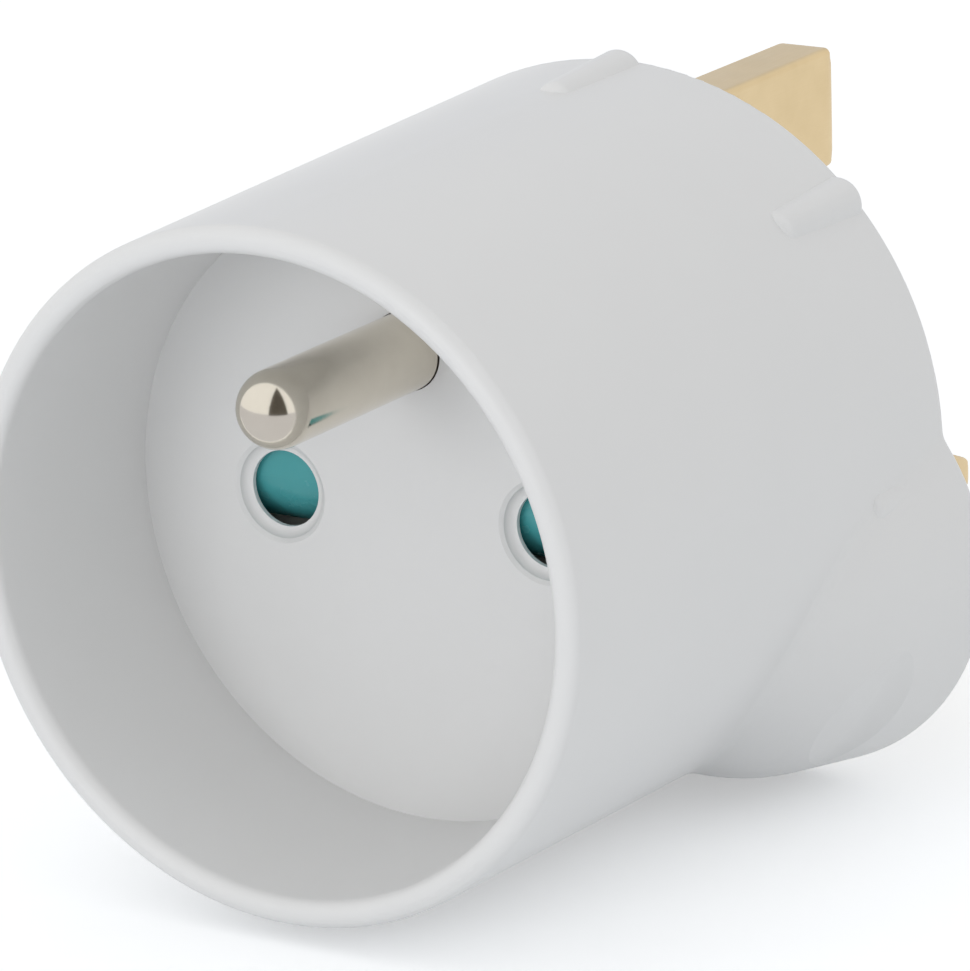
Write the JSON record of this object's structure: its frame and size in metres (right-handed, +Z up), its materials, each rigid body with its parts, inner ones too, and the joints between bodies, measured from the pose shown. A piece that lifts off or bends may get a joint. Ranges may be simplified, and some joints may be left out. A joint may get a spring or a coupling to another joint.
{
  "type": "plug adapter",
  "caption": "Travel plug adapter with a shuttered round-pin socket in a deep cup and flat plug pins, a fuse drawer and ears to pull on.",
  "frame": {"origin": "centre of the socket face, midway between the two contact holes", "axes": "+Y out of the plug face along its pins, +X to the right as one faces the socket, +Z up towards the earth pins"},
  "size_m": [0.0504, 0.0659, 0.0455],
  "materials": {
    "white_gloss": "glossy white moulded plastic",
    "white_inner": "matt white moulded plastic",
    "drawer_grey": "fine satin moulded plastic",
    "teal_shutter": "smooth coloured plastic",
    "nickel_plate": "nickel-plated brass",
    "plain_brass": "drawn brass",
    "black_sleeve": "satin black plastic",
    "zinc_steel": "zinc-plated steel",
    "spring_steel": "drawn steel wire",
    "ceramic_tube": "unglazed white ceramic"
  },
  "bodies": {
    "root": {"housing": "white_gloss", "plug_base": "white_gloss", "contact_carrier": "white_inner", "shutter_spring": "spring_steel", "socket_earth_pin": "nickel_plate", "plug_earth_pin": "plain_brass", "earth_strap": "plain_brass", "plug_live_pin": "plain_brass", "plug_neutral_pin": "plain_brass", "live_pin_sleeve": "black_sleeve", "neutral_pin_sleeve": "black_sleeve", "live_contact": "plain_brass", "neutral_contact": "plain_brass", "live_rivet": "plain_brass", "neutral_rivet": "plain_brass", "neutral_strap": "plain_brass", "supply_clip": "plain_brass", "load_clip": "plain_brass", "base_screw_1": "zinc_steel", "base_screw_2": "zinc_steel", "base_screw_3": "zinc_steel", "base_screw_4": "zinc_steel"},
    "shutter": {"shutter": "teal_shutter"},
    "fuse_drawer": {"fuse_drawer": "drawer_grey", "fuse_tube": "ceramic_tube", "fuse_lower_cap": "nickel_plate", "fuse_upper_cap": "nickel_plate"}
  },
  "joints": [
    {"name": "shutter_slide", "type": "slide", "parent": "root", "child": "shutter", "axis": [0, 0, 1], "range_m": [0, 0.0053], "stiffness_N_per_m": 200, "springref_m": -0.004, "deforming": ["shutter_spring"]},
    {"name": "drawer_slide", "type": "slide", "parent": "root", "child": "fuse_drawer", "axis": [0, 1, 0], "range_m": [0, 0.012]}
  ]
}
